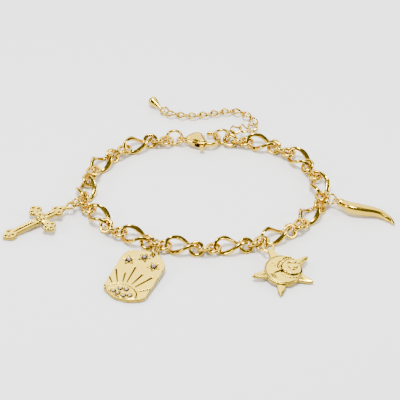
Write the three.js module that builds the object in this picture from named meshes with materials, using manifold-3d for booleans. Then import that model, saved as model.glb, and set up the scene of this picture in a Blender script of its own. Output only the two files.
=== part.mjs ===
// Charm anklet: a loop of twisted oval links and small round rings that is closed by a lobster
// clasp, with a curb extender and four charms, laid on a flat surface.
//
// Millimetres. +Z is up and the surface is z = 0. The loop is an ellipse with its long axis on X;
// the clasp lies at the middle of the +Y side and the charms lie outside the loop. The model is
// built round the ellipse's centre and moved to the middle of its own footprint at the end.

import * as THREE from 'three';
import { mergeVertices } from 'three/addons/utils/BufferGeometryUtils.js';
import Module from 'manifold-3d';

const wasm = await Module();
wasm.setup();

// ---------------------------------------------------------------- driving dimensions

const LOOP = { halfLength: 39.0, halfWidth: 29.47 };
const LONG_LINK = { length: 11.3, width: 6.6, wire: 1.15, fullness: 2.4, roll: 50, lean: 0 };
const LONG_LINKS = 12;
const ROUND_RING = { outer: 5.3, wire: 1.1 };
const TRIO_SPAN = 5.45;

// The three rings between two long links, in a frame whose X runs from one link's end to the
// next one's: along X, to the side on Y, height of the centre, roll about X, yaw.
const FIRST_RING = { along: -0.4, side: -0.8, height: 2.0, roll: 45, yaw: 0 };
const MIDDLE_RING = { along: 2.35, side: -1.4, height: 2.15, roll: -48, yaw: 6 };
const LAST_RING = { along: 5.0, side: -0.45, height: 1.9, roll: -2, yaw: 0 };

// Where the loop starts on the clasp's right, and how the clasp's pieces follow each other along
// the line that closes the loop from the last long link back to that start.
const HOOK_SIDE = { apex: [9.8, 26.7], firstLink: [15.2, 25.75] };
const CLASP_LINE = { eyeRing: [7.75, -0.3], eye: [10.15, -0.42], hookRing: [23.93, 0], height: 2.2 };
const CLASP_RING = { outer: 6.1, wire: 1.0, height: 3.05, roll: 78 };

const EYE = { outer: 3.6, wire: 1.0 };
const CLASP_BODY = { thickness: 3.0, bevel: 0.7 };
const SLOT = { thickness: 1.5 };
const HOOK = { wire: 1.36 };
const PIVOT = { at: [6.6, -1.5], pin: 0.8, hole: 1.4, hub: 2.2 };
const LEVER = { thickness: 0.9, thumb: { at: [6.85, -4.85], length: 1.9, width: 0.95, height: 1.9 } };

const CURB_LINK = { length: 5.1, width: 3.3, wire: 0.6, fullness: 2.1, roll: 42, lean: 20 };
const CURB_LINKS = 12;
const CURB_RING = { outer: 4.0, wire: 0.65 };
const END_RING = { outer: 3.3, wire: 0.6 };
const EXTENDER_COURSE = [
  [9.7, 28.5, 4.2], [12.0, 30.6, 3.9], [15.4, 32.0, 2.0], [17.8, 34.8, 1.3], [16.9, 39.0, 1.3],
  [13.4, 42.6, 1.3], [9.2, 43.7, 1.3], [1.4, 41.7, 1.3], [-5.5, 40.8, 1.3], [-12.4, 42.3, 1.3],
];
const FIRST_CURB_RING = { along: 9.37, side: 27.21, height: 3.76, roll: 0 };
const LAST_CURB_RING = { along: -13.4, side: 43.2, height: 1.6, roll: 70 };
const DROP = { length: 6.0, wide: 3.5, narrow: 0.8, loop: { outer: 2.2, wire: 0.5 } };
const DROP_PLACE = { at: [-14.6, 44.9, 1.3], heading: 130, dip: -9 };

const CROSS = {
  length: 22.6,
  crossing: 14.6,
  span: 14.0,
  shaft: 2.4,
  thickness: 1.3,
  boss: 3.8,
  groove: { width: 0.45, depth: 0.3, low: [4.5, 11.2], high: [16.8, 18.6] },
  trefoil: { reach: 1.3, spread: 1.2, lobe: 2.2 },
  bail: { length: 4.9, width: 3.9, wire: 0.85, thickness: 0.9 },
  place: { at: [-63.9, -23.6], heading: 33.2, tilt: 5.65 },
};

const TAG = {
  thickness: 1.2,
  outline: [
    [0.1, -2.5], [2.6, -7.3], [14.3, -7.6], [18.6, -7.4], [21.9, -3.2], [22.0, 1.1], [20.6, 5.7],
    [18.4, 7.3], [2.6, 7.1], [0, 1.9],
  ],
  hole: [20.7, -1.7],
  holeWidth: 1.7,
  stars: [[16.1, 4.4], [18.9, 0.3], [16.3, -4.1]],
  starWidth: 4.2,
  starStone: 1.5,
  beads: [[4.0, 1.5], [4.3, -0.45], [2.3, 3.15], [1.9, 1.4], [1.6, -0.65], [2.3, -2.5]],
  beadStone: 1.3,
  sun: {
    outline: [
      [0.7, -2.6], [2.0, -4.6], [4.0, -3.9], [5.4, -2.0], [6.0, 0.6], [5.6, 2.9], [4.2, 5.0],
      [2.4, 6.0], [0.7, 1.9],
    ],
    height: 0.2,
  },
  rays: {
    centre: [1.0, 0.6], from: 6.2, root: 0.2, width: 0.55, depth: 0.25,
    angles: [68, 45, 25, 8, -10, -27, -45, -66], reach: [8.0, 11.0, 9.6, 13.4, 12.0, 13.0, 9.4, 7.6],
  },
  place: { at: [-25.8, -52.5], heading: 66, tilt: 4.66 },
};
const STONE = { girdle: 0.25, crown: 0.3, table: 0.28 };

const SUN_MOON = {
  width: 12.0,
  thickness: 1.4,
  rays: { angles: [-76, -138, 149, 80], root: 5.2, tip: 10.2, width: 4.2, thickness: 1.2 },
  face: { at: [-0.4, -2.7], width: 6.2, height: 0.5 },
  moon: { at: [-0.1, 0.1], width: 11.2, height: 0.35, hollow: { at: [0.5, -2.8], width: 8.0 } },
  bail: { at: 10.9, outer: 4.4, wire: 1.0 },
  place: { at: [28.44, -48.52], heading: 114.5, tilt: 7.66 },
};

const CHARM_RING = { outer: 4.6, wire: 0.75 };
// Centre of each charm's jump ring and the direction of its axis.
const CHARM_RINGS = {
  jump_ring_tag_upper: { at: [-14.84, -30.32, 3.35], axis: [-0.872, -0.274, 0.406] },
  jump_ring_tag_lower: { at: [-15.03, -32.72, 2.24], axis: [0.876, -0.384, 0.293] },
  jump_ring_cross: { at: [-40.77, -8.91, 3.55], axis: [0.371, -0.908, -0.195] },
  jump_ring_sun_moon: { at: [18.44, -29.3, 3.25], axis: [0.489, 0.728, -0.48] },
  jump_ring_horn: { at: [41.37, -7.19, 3.4], axis: [-0.131, -0.982, 0.138] },
};

const HORN = {
  course: [
    [0, 0, 0.5], [3.0, -0.7, 0.9], [7.0, -0.6, 1.35], [11.5, 0.9, 1.7], [15.5, 1.8, 1.8], [18.6, 1.6, 1.7],
  ],
  radii: [0.3, 0.9, 1.35, 1.7, 1.75, 1.2],
  cap: { at: [18.2, 1.6, 1.7], width: 2.9, length: 1.6 },
  eye: { at: [20.6, 1.6, 1.7], outer: 2.6, wire: 0.7 },
  place: { at: [61.8, -16.4], heading: 150, tilt: 3.35 },
};

const GOLD = { color: 0xd9a63a, metalness: 1, roughness: 0.22 };

// ---------------------------------------------------------------- solids

function radians(degrees) {
  return THREE.MathUtils.degToRad(degrees);
}

// Ratio of a polygon's corner radius to the radius of the circle of the same area.
function cornerScale(sides) {
  return Math.sqrt((2 * Math.PI) / (sides * Math.sin((2 * Math.PI) / sides)));
}

function weld(geometry) {
  const bare = geometry.clone();
  bare.deleteAttribute('normal');
  bare.deleteAttribute('uv');
  return mergeVertices(bare, 1e-4);
}

function toSolid(geometry) {
  const welded = weld(geometry);
  const mesh = new wasm.Mesh({
    numProp: 3,
    vertProperties: new Float32Array(welded.attributes.position.array),
    triVerts: new Uint32Array(welded.index.array),
  });
  return new wasm.Manifold(mesh);
}

function toGeometry(solid) {
  const mesh = solid.getMesh();
  const geometry = new THREE.BufferGeometry();
  geometry.setAttribute('position', new THREE.BufferAttribute(mesh.vertProperties, 3));
  geometry.setIndex(new THREE.BufferAttribute(mesh.triVerts, 1));
  return geometry;
}

// The largest body of a solid, without the slivers that two meeting tubes can shut between them.
function mainBody(solid) {
  return solid.decompose().reduce((main, body) => (body.volume() > main.volume() ? body : main));
}

function union(...geometries) {
  return toGeometry(mainBody(geometries.map(toSolid).reduce((sum, solid) => sum.add(solid))));
}

function cut(geometry, ...tools) {
  return toGeometry(tools.map(toSolid).reduce((rest, tool) => rest.subtract(tool), toSolid(geometry)));
}

function polygon(points) {
  return new THREE.Shape(points.map(([x, y]) => new THREE.Vector2(x, y)));
}

function circle(diameter, sides, [x, y] = [0, 0]) {
  const radius = (diameter / 2) * cornerScale(sides);
  const corners = Array.from({ length: sides }, (_, i) => {
    const angle = (2 * Math.PI * (i + 0.5)) / sides;
    return [x + radius * Math.cos(angle), y + radius * Math.sin(angle)];
  });
  return polygon(corners);
}

// A flat shape from one height up to another, with its edges bevelled inwards.
function plate(shape, low, high, bevel = 0, segments = 1) {
  const geometry = new THREE.ExtrudeGeometry(shape, {
    depth: high - low - 2 * bevel,
    bevelEnabled: bevel > 0,
    bevelThickness: bevel,
    bevelSize: bevel,
    bevelOffset: -bevel,
    bevelSegments: segments,
    curveSegments: 5,
  });
  return geometry.translate(0, 0, low + bevel);
}

function ringGeometry({ outer, wire }, steps = 12, sides = 5) {
  const tube = (wire / 2) * cornerScale(sides);
  return new THREE.TorusGeometry((outer - wire) / 2, tube, sides, steps);
}

function rod(points, diameter, steps, sides = 8) {
  const path = new THREE.CatmullRomCurve3(points.map((point) => new THREE.Vector3(...point)));
  const section = circle(diameter, sides);
  return new THREE.ExtrudeGeometry(section, { steps, bevelEnabled: false, extrudePath: path });
}

// A solid of revolution about Z whose profile of [radius, z] pairs starts and ends on the axis.
function turned(profile, segments) {
  const points = profile.map(([radius, z]) => new THREE.Vector2(radius, z));
  return new THREE.LatheGeometry(points, segments).rotateX(Math.PI / 2);
}

// Closed centre line of a twisted link: a full oval along X whose plane turns from lean + roll
// at the start (-X) to lean - roll at the end (+X).
class TwistedOval extends THREE.Curve {
  constructor(link) {
    super();
    this.link = link;
  }

  getPoint(t, target = new THREE.Vector3()) {
    const { length, width, wire, fullness, roll, lean } = this.link;
    const along = Math.cos(2 * Math.PI * t);
    const across = Math.sin(2 * Math.PI * t);
    const power = 2 / fullness;
    const x = ((length - wire) / 2) * Math.sign(along) * Math.abs(along) ** power;
    const y = ((width - wire) / 2) * Math.sign(across) * Math.abs(across) ** power;
    const plane = radians(lean - roll * Math.sin((Math.PI * x) / (length - wire)));
    return target.set(x, y * Math.cos(plane), y * Math.sin(plane));
  }
}

function linkGeometry(link, steps, sides) {
  const tube = (link.wire / 2) * cornerScale(sides);
  return new THREE.TubeGeometry(new TwistedOval(link), steps, tube, sides, true);
}

function lowest(geometry) {
  geometry.computeBoundingBox();
  return geometry.boundingBox.min.z;
}

// ---------------------------------------------------------------- places

function addMesh(parent, name, geometry) {
  const mesh = new THREE.Mesh(geometry, new THREE.MeshStandardMaterial(GOLD));
  mesh.name = name;
  parent.add(mesh);
  return mesh;
}

function flat([x, y]) {
  return new THREE.Vector3(x, y, 0);
}

// Point of the loop at an angle counted clockwise, seen from above, from the middle of the +Y side.
function loopPoint(angle) {
  return flat([LOOP.halfLength * Math.sin(angle), LOOP.halfWidth * Math.cos(angle)]);
}

// Angle of the loop point, up to a quarter turn past an angle, at a straight distance from a point.
function stepAlong(start, angle, distance) {
  let low = angle;
  let high = angle + Math.PI / 2;
  for (let i = 0; i < 50; i += 1) {
    const middle = (low + high) / 2;
    if (loopPoint(middle).distanceTo(start) < distance) low = middle;
    else high = middle;
  }
  return low;
}

// A group at one point whose X looks at another and whose Z is up.
function frameBetween(from, to) {
  const group = new THREE.Group();
  group.position.copy(from);
  group.rotation.z = Math.atan2(to.y - from.y, to.x - from.x);
  return group;
}

function number(index) {
  return String(index).padStart(2, '0');
}

function ringMatrix({ along, side, height, roll = 0, yaw = 0 }) {
  const turn = new THREE.Euler(radians(roll), -radians(yaw), 0);
  return new THREE.Matrix4().makeRotationFromEuler(turn).setPosition(along, side, height);
}

function placedRing(size, place, steps, sides) {
  return ringGeometry(size, steps, sides).applyMatrix4(ringMatrix(place));
}

// ---------------------------------------------------------------- chain

function trioGeometry(firstRing = FIRST_RING) {
  return union(...[firstRing, MIDDLE_RING, LAST_RING].map((place) => placedRing(ROUND_RING, place)));
}

// The long links and the rings between them, clockwise from the clasp's hook to its eye. Returns
// the end of the last long link.
function buildChain(anklet) {
  const link = linkGeometry(LONG_LINK, 20, 6);
  const trio = trioGeometry();
  const chord = LONG_LINK.length - LONG_LINK.wire;
  let start = flat(HOOK_SIDE.firstLink);
  let angle = 0;
  for (let i = 1; i <= LONG_LINKS; i += 1) {
    angle = stepAlong(start, angle, chord);
    const end = loopPoint(angle);
    const linkPlace = frameBetween(start, end);
    addMesh(linkPlace, `long_link_${number(i)}`, link).position.set(chord / 2, 0, -lowest(link));
    anklet.add(linkPlace);
    if (i === LONG_LINKS) return end;

    angle = stepAlong(end, angle, TRIO_SPAN);
    start = loopPoint(angle);
    const trioPlace = start.x > end.x ? frameBetween(end, start) : frameBetween(start, end);
    addMesh(trioPlace, `ring_trio_${number(i)}`, trio);
    anklet.add(trioPlace);
  }
  return start;
}

// ---------------------------------------------------------------- clasp

function claspOutline() {
  const outline = new THREE.Shape();
  outline.moveTo(1.1, 0.6);
  outline.bezierCurveTo(2.2, 1.9, 3.8, 3.5, 5.6, 3.4);
  outline.quadraticCurveTo(6.6, 3.3, 7.2, 2.5);
  outline.quadraticCurveTo(7.5, 0.6, 8.3, -0.9);
  outline.quadraticCurveTo(8.8, -1.5, 9.0, -2.3);
  outline.lineTo(9.0, -3.6);
  outline.quadraticCurveTo(5.2, -4.6, 1.1, -0.6);
  outline.closePath();
  return outline;
}

function hookGeometry() {
  const course = [
    [8.1, -2.85, 0], [10.2, -3.05, 0], [12.0, -2.0, 0], [12.8, 0.1, 0], [12.1, 2.3, 0],
    [10.4, 3.05, 0], [8.5, 3.0, 0],
  ];
  return rod(course, HOOK.wire, 14);
}

function leverSlot() {
  const outline = polygon([
    [4.4, -6], [8.0, -6], [8.0, -0.9], [9.6, -0.4], [9.6, 3.6], [6.6, 3.6], [6.3, 0.2],
    [5.1, -0.6], [4.4, -2.4],
  ]);
  return plate(outline, -SLOT.thickness / 2, SLOT.thickness / 2);
}

function claspBodyGeometry() {
  const half = CLASP_BODY.thickness / 2;
  const shell = plate(claspOutline(), -half, half, CLASP_BODY.bevel, 2);
  const slotted = cut(shell, leverSlot());
  const reach = SLOT.thickness / 2 + 0.2;
  const pin = plate(circle(PIVOT.pin, 10, PIVOT.at), -reach, reach);
  return union(slotted, hookGeometry(), ringGeometry(EYE, 12, 6), pin);
}

function leverGeometry() {
  const half = LEVER.thickness / 2;
  const arms = polygon([
    [5.6, -1.0], [6.7, 0.4], [7.15, 2.2], [8.0, 2.15], [8.0, 0.6], [7.6, -1.0], [7.6, -2.0],
    [7.45, -2.6], [7.5, -4.6], [6.2, -4.6], [6.05, -2.6], [5.6, -2.0],
  ]);
  const { at: [x, y], length, width, height } = LEVER.thumb;
  const thumb = plate(polygon([
    [x - length / 2, y + width / 2], [x - length / 2 + 0.3, y - width / 2],
    [x + length / 2 - 0.3, y - width / 2], [x + length / 2, y + width / 2],
  ]), -height / 2, height / 2, 0.2);
  const hub = plate(circle(PIVOT.hub, 12, PIVOT.at), -half, half);
  const hole = plate(circle(PIVOT.hole, 12, PIVOT.at), -half - 1, half + 1);
  return cut(union(plate(arms, -half, half), hub, thumb), hole);
}

function buildClasp(anklet, chainEnd) {
  const apex = flat(HOOK_SIDE.apex);
  const { eyeRing, eye, hookRing, height } = CLASP_LINE;
  const line = frameBetween(chainEnd, apex);
  addMesh(line, `ring_trio_${number(LONG_LINKS)}`, trioGeometry());
  const ring = ringGeometry(CLASP_RING, 12, 6);
  const standing = ([along, side]) => ringMatrix({ along, side, ...CLASP_RING });
  addMesh(line, 'jump_ring_eye', ring).applyMatrix4(standing(eyeRing));
  addMesh(line, 'jump_ring_hook', ring).applyMatrix4(standing(hookRing));
  const clasp = new THREE.Group();
  clasp.position.set(...eye, height);
  addMesh(clasp, 'clasp_body', claspBodyGeometry());
  addMesh(clasp, 'clasp_lever', leverGeometry());
  line.add(clasp);
  anklet.add(line);

  const hookTrio = frameBetween(apex, flat(HOOK_SIDE.firstLink));
  addMesh(hookTrio, `ring_trio_${number(LONG_LINKS + 1)}`, trioGeometry({ ...FIRST_RING, roll: 24 }));
  anklet.add(hookTrio);
}

// ---------------------------------------------------------------- extender

function buildExtender(anklet) {
  const link = linkGeometry(CURB_LINK, 10, 5);
  const course = new THREE.CatmullRomCurve3(EXTENDER_COURSE.map((point) => new THREE.Vector3(...point)));
  const pieces = [];
  for (let i = 0; i < CURB_LINKS; i += 1) {
    const start = course.getPointAt(i / CURB_LINKS);
    const end = course.getPointAt((i + 1) / CURB_LINKS);
    const run = end.clone().sub(start);
    const slope = Math.atan2(run.z, Math.hypot(run.x, run.y));
    const turn = new THREE.Euler(0, -slope, Math.atan2(run.y, run.x), 'ZYX');
    const place = new THREE.Matrix4().makeRotationFromEuler(turn);
    pieces.push(link.clone().applyMatrix4(place.setPosition(start.add(end).multiplyScalar(0.5))));
  }
  pieces.push(placedRing(CURB_RING, FIRST_CURB_RING, 10, 5));
  pieces.push(placedRing(END_RING, LAST_CURB_RING, 10, 5));
  addMesh(anklet, 'extender_chain', union(...pieces));

  const drop = addMesh(anklet, 'end_drop', dropGeometry());
  drop.rotation.order = 'ZYX';
  drop.rotation.set(0, radians(DROP_PLACE.dip), radians(DROP_PLACE.heading));
  drop.position.set(...DROP_PLACE.at);
}

// Smooth drop along X: the narrow end with its loop at the origin, the wide end at +X.
function dropGeometry() {
  const { length, wide, narrow, loop } = DROP;
  const profile = [
    [0, 0], [narrow / 2, 0], [narrow / 2 + 0.1, 0.6], [wide * 0.36, length * 0.5],
    [wide * 0.5, length * 0.76], [wide * 0.46, length * 0.87], [wide * 0.3, length * 0.96], [0, length],
  ];
  const drop = turned(profile, 12).rotateY(Math.PI / 2);
  const eye = ringGeometry(loop, 10, 5).translate(-(loop.outer - loop.wire) / 2, 0, 0);
  return union(drop, eye);
}

// ---------------------------------------------------------------- charms

// A charm lies along +X from its far end at the origin to its eye. It is turned to its heading and
// its eye end is raised by its tilt.
function buildCharm(anklet, name, geometry, { at, heading, tilt }) {
  const charm = addMesh(anklet, name, geometry);
  charm.rotation.order = 'ZYX';
  charm.rotation.set(0, -radians(tilt), radians(heading));
  charm.position.set(at[0], at[1], at[2] ?? 0);
}

function buildCharmRings(anklet) {
  const ring = ringGeometry(CHARM_RING);
  for (const [name, { at, axis }] of Object.entries(CHARM_RINGS)) {
    const mesh = addMesh(anklet, name, ring);
    const direction = new THREE.Vector3(...axis).normalize();
    mesh.quaternion.setFromUnitVectors(new THREE.Vector3(0, 0, 1), direction);
    mesh.position.set(...at);
  }
}

// Three round lobes, as one outline, at the end of an arm that points along an angle.
function trefoil([x, y], angle) {
  const { reach, spread, lobe } = CROSS.trefoil;
  const corners = [[-90, spread], [0, reach], [90, spread]].flatMap(([side, distance]) => {
    const toLobe = angle + radians(side);
    return [-60, -20, 20, 60].map((step) => {
      const round = toLobe + radians(step);
      return [
        x + distance * Math.cos(toLobe) + (lobe / 2) * Math.cos(round),
        y + distance * Math.sin(toLobe) + (lobe / 2) * Math.sin(round),
      ];
    });
  });
  return plate(polygon(corners), 0, CROSS.thickness);
}

function crossGeometry() {
  const { length, crossing, span, shaft, thickness, boss, trefoil: ends, bail } = CROSS;
  const inset = ends.reach + ends.lobe / 2;
  const upright = plate(polygon([
    [0.6, -0.3], [0.6, 0.3], [2.6, shaft / 2], [length - 1, shaft / 2], [length + 0.6, 0.5],
    [length + 0.6, -0.5], [length - 1, -shaft / 2], [2.6, -shaft / 2],
  ]), 0, thickness, 0.25);
  const arm = plate(polygon([
    [crossing - shaft * 0.4, -span / 2 + inset], [crossing + shaft * 0.4, -span / 2 + inset],
    [crossing + shaft * 0.4, span / 2 - inset], [crossing - shaft * 0.4, span / 2 - inset],
  ]), 0, thickness, 0.25);
  const trefoils = [
    trefoil([inset, 0], Math.PI),
    trefoil([length - inset, 0], 0),
    trefoil([crossing, span / 2 - inset], Math.PI / 2),
    trefoil([crossing, inset - span / 2], -Math.PI / 2),
  ];
  const centre = plate(circle(boss, 12, [crossing, 0]), 0, thickness + 0.35, 0.3);
  const loop = plate(bailShape(length, bail), 0.1, bail.thickness);
  return cut(union(upright, arm, centre, ...trefoils, loop), ...shaftGrooves());
}

// Cutters of the two grooves along the cross's shaft.
function shaftGrooves() {
  const { thickness, groove: { width, depth, low, high } } = CROSS;
  return [low, high].map(([start, end]) => plate(polygon([
    [start, -width / 2], [end, -width / 2], [end, width / 2], [start, width / 2],
  ]), thickness - depth, thickness + 1));
}

// A long diamond with an open middle.
function bailShape(start, { length, width, wire }) {
  const middle = start + length * 0.55;
  const shape = polygon([
    [start, -wire / 2], [middle, -width / 2], [start + length, -wire / 3], [start + length, wire / 3],
    [middle, width / 2], [start, wire / 2],
  ]);
  const inner = width / 2 - wire;
  shape.holes.push(new THREE.Path([
    new THREE.Vector2(start + wire * 1.3, 0), new THREE.Vector2(middle, -inner),
    new THREE.Vector2(start + length - wire, 0), new THREE.Vector2(middle, inner),
  ]));
  return shape;
}

// A cut stone: a round girdle, eight sloping facets and a table.
function stone([x, y], diameter, base) {
  const { girdle, crown, table } = STONE;
  const shoulder = base + girdle;
  const top = shoulder + crown;
  const profile = [
    [0, base], [diameter / 2, base], [diameter / 2, shoulder], [diameter * table, top], [0, top],
  ];
  return turned(profile, 8).translate(x, y, 0);
}

function starShape([x, y], diameter, points = 5) {
  const corners = Array.from({ length: 2 * points }, (_, i) => {
    const radius = (i % 2 ? 0.24 : 0.5) * diameter;
    const angle = (Math.PI * i) / points + 0.3;
    return [x + radius * Math.cos(angle), y + radius * Math.sin(angle)];
  });
  return polygon(corners);
}

// Cutters of the rays, which are wedges that widen away from the half sun.
function rayGrooves() {
  const { thickness, rays: { centre: [x, y], from, root, width, depth, angles, reach } } = TAG;
  return angles.map((angle, i) => plate(polygon([
    [from, -root / 2], [reach[i], -width / 2], [reach[i], width / 2], [from, root / 2],
  ]), thickness - depth, thickness + 1).rotateZ(radians(angle)).translate(x, y, 0));
}

function tagGeometry() {
  const { outline, thickness, hole, holeWidth, stars, beads, starWidth, starStone, beadStone, sun } = TAG;
  const blank = plate(polygon(outline), 0, thickness, 0.2);
  const dome = plate(polygon(sun.outline), thickness - 0.3, thickness + sun.height, 0.2);
  const starTop = thickness + 0.25;
  const starPlates = stars.map((centre) => plate(starShape(centre, starWidth), thickness - 0.2, starTop));
  const starStones = stars.map((centre) => stone(centre, starStone, thickness + 0.1));
  const beadStones = beads.map((centre) => stone(centre, beadStone, thickness + sun.height - 0.15));
  const solid = union(blank, dome, ...starPlates, ...starStones, ...beadStones);
  return cut(solid, plate(circle(holeWidth, 10, hole), -1, thickness + 2), ...rayGrooves());
}

// A pointed ray of a sun: a flat-based pyramid from the rim out to its tip.
function pointedRay(angle, { root, tip, width, thickness }) {
  const shape = polygon([
    [root, -width / 2], [tip - 0.3, -0.15], [tip, 0], [tip - 0.3, 0.15], [root, width / 2],
  ]);
  return plate(shape, 0, thickness, 0.12).rotateZ(radians(angle));
}

function sunMoonGeometry() {
  const { width, thickness, rays, face, moon, bail } = SUN_MOON;
  const body = plate(circle(width, 24), 0, thickness, 0.2);
  const points = rays.angles.map((angle) => pointedRay(angle, rays));
  const rim = plate(circle(face.width, 16, face.at), thickness - 0.3, thickness + face.height, 0.25);
  const hollow = plate(circle(moon.hollow.width, 20, moon.hollow.at), -1, thickness + 3);
  const disc = plate(circle(moon.width, 22, moon.at), thickness - 0.3, thickness + moon.height, 0.15);
  const crescent = cut(disc, hollow);
  const neckEnd = bail.at - 1.2;
  const neck = plate(polygon([[4.4, -1.9], [neckEnd, -0.9], [neckEnd, 0.9], [4.4, 1.9]]), 0, thickness, 0.15);
  const eye = ringGeometry(bail, 12, 6).translate(bail.at, 0, bail.wire / 2);
  const reach = -rays.tip * Math.min(...rays.angles.map((angle) => Math.cos(radians(angle))));
  return union(body, ...points, neck, eye, rim, crescent).translate(reach, 0, 0);
}

// A tube round a curve with its own radius at each step, closed by flat ends.
function tapered(points, radii, steps, sides) {
  const path = new THREE.CatmullRomCurve3(points.map((point) => new THREE.Vector3(...point)));
  const size = new THREE.CatmullRomCurve3(radii.map((radius, i) => new THREE.Vector3(i, radius, 0)));
  const positions = [];
  for (let i = 0; i <= steps; i += 1) {
    const t = i / steps;
    const centre = path.getPoint(t);
    const along = path.getTangent(t);
    const side = new THREE.Vector3(-along.y, along.x, 0).normalize();
    const up = new THREE.Vector3().crossVectors(along, side);
    const radius = size.getPoint(t).y;
    for (let j = 0; j < sides; j += 1) {
      const angle = (2 * Math.PI * j) / sides;
      const point = centre.clone().addScaledVector(side, radius * Math.cos(angle));
      positions.push(...point.addScaledVector(up, radius * Math.sin(angle)).toArray());
    }
  }
  positions.push(...path.getPoint(0).toArray(), ...path.getPoint(1).toArray());
  const index = [];
  const last = steps * sides;
  for (let j = 0; j < sides; j += 1) {
    const next = (j + 1) % sides;
    for (let i = 0; i < steps; i += 1) {
      const row = i * sides;
      index.push(row + j, row + next, row + sides + next, row + j, row + sides + next, row + sides + j);
    }
    index.push(next, j, last + sides, last + j, last + next, last + sides + 1);
  }
  const geometry = new THREE.BufferGeometry();
  geometry.setAttribute('position', new THREE.Float32BufferAttribute(positions, 3));
  geometry.setIndex(index);
  return geometry;
}

function hornGeometry() {
  const { course, radii, cap, eye } = HORN;
  const horn = tapered(course, radii, 14, 10);
  const rim = cap.width / 2;
  const profile = [[0, 0], [rim, 0], [rim, cap.length - 0.4], [rim - 0.4, cap.length], [0, cap.length]];
  const top = turned(profile, 12).rotateY(Math.PI / 2).translate(...cap.at);
  return union(horn, top, ringGeometry(eye, 12, 5).translate(...eye.at));
}

// ---------------------------------------------------------------- assembly

// Moves the model so that the middle of its footprint is the origin.
function centred(model) {
  const box = new THREE.Box3().setFromObject(model, true);
  model.position.set(-(box.min.x + box.max.x) / 2, -(box.min.y + box.max.y) / 2, -box.min.z);
  return model;
}

const anklet = new THREE.Group();
const chainEnd = buildChain(anklet);
buildClasp(anklet, chainEnd);
buildExtender(anklet);
buildCharm(anklet, 'charm_cross', crossGeometry(), CROSS.place);
buildCharm(anklet, 'charm_tag', tagGeometry(), TAG.place);
buildCharm(anklet, 'charm_sun_moon', sunMoonGeometry(), SUN_MOON.place);
buildCharm(anklet, 'charm_horn', hornGeometry(), HORN.place);
buildCharmRings(anklet);
export default centred(anklet);
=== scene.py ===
"""Looks of the charm anklet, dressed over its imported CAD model.

Sizes are millimetres in the frame of part.mjs, whose origin is the middle of the loop's ellipse;
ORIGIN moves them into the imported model's frame, and MM turns them into metres.
"""

import math

import bpy
import numpy as np
from mathutils import Matrix, Vector, geometry


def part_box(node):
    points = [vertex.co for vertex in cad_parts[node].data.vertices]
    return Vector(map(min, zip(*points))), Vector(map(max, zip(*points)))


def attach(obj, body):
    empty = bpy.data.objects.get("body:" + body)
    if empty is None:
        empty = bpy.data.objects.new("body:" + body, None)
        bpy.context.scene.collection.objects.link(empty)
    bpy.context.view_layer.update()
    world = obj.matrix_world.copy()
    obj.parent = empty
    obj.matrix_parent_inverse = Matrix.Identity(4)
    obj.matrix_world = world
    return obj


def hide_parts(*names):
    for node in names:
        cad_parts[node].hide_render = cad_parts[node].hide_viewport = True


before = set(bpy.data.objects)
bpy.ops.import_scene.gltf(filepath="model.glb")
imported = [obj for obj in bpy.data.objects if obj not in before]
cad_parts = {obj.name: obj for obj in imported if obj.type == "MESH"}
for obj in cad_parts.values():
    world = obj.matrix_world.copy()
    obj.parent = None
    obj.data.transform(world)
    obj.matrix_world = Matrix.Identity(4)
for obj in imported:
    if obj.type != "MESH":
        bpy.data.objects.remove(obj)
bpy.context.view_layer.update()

MM = 0.001

# ---------------------------------------------------------------- driving dimensions

LOOP = {"half_length": 39.0, "half_width": 29.47}
LONG_LINK = {
    "length": 11.3, "width": 6.6, "wire": 1.15, "fullness": 2.4,
    "roll": 50, "lean": 0, "height": 2.17, "band": 0.5,
}
LONG_LINKS = 12
ROUND_RING = {"outer": 5.3, "wire": 1.1, "widen": 1.12}
TRIO_SPAN = 5.45
FIRST_RING = {"along": -0.4, "side": -0.8, "height": 2.0, "roll": 45, "yaw": 0}
MIDDLE_RING = {"along": 2.35, "side": -1.4, "height": 2.15, "roll": -48, "yaw": 6}
LAST_RING = {"along": 5.0, "side": -0.45, "height": 1.9, "roll": -2, "yaw": 0}
HOOK_SIDE_ROLL = 24

APEX = (9.8, 26.7)
FIRST_LINK = (15.2, 25.75)
CLASP_LINE = {"eye_ring": (7.75, -0.3), "eye": (10.15, -0.42), "hook_ring": (23.93, 0), "height": 2.2}
CLASP_RING = {"outer": 6.1, "wire": 1.0, "height": 3.05, "roll": 78}
EYE = {"outer": 3.6, "wire": 1.0}
CLASP_BODY = {
    "thickness": 3.0, "slot": 1.2, "edge": 2.3, "rise": 1.25,
    "outline": (
        ((1.1, 0.6), (2.2, 1.9), (3.8, 3.5), (5.6, 3.4)),
        ((5.6, 3.4), (6.6, 3.3), (7.2, 2.5)),
        ((7.2, 2.5), (7.5, 0.6), (8.3, -0.9)),
        ((8.3, -0.9), (8.8, -1.5), (9.0, -2.3)),
        ((9.0, -2.3), (9.0, -3.6)),
        ((9.0, -3.6), (5.2, -4.6), (1.1, -0.6)),
        ((1.1, -0.6), (1.1, 0.6)),
    ),
    "opening": (
        (4.4, -6), (8.0, -6), (8.0, -0.9), (9.6, -0.4), (9.6, 3.6), (6.6, 3.6), (6.3, 0.2), (5.1, -0.6),
        (4.4, -2.4),
    ),
    "crease": ((1.9, -0.15), (4.6, -2.0), (6.6, -2.75), (8.9, -2.7)),
    "crease_cut": (0.75, 0.6),
}
HOOK = {
    "width": 1.36, "height": 1.9,
    "course": (
        (8.1, -2.85, 0), (10.2, -3.05, 0), (12.0, -2.0, 0), (12.8, 0.1, 0), (12.1, 2.3, 0), (10.4, 3.05, 0),
        (8.5, 3.0, 0),
    ),
}
PIVOT = {"at": (6.6, -1.5), "pin": 0.8, "hole": 1.4, "hub": 2.2}
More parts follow.
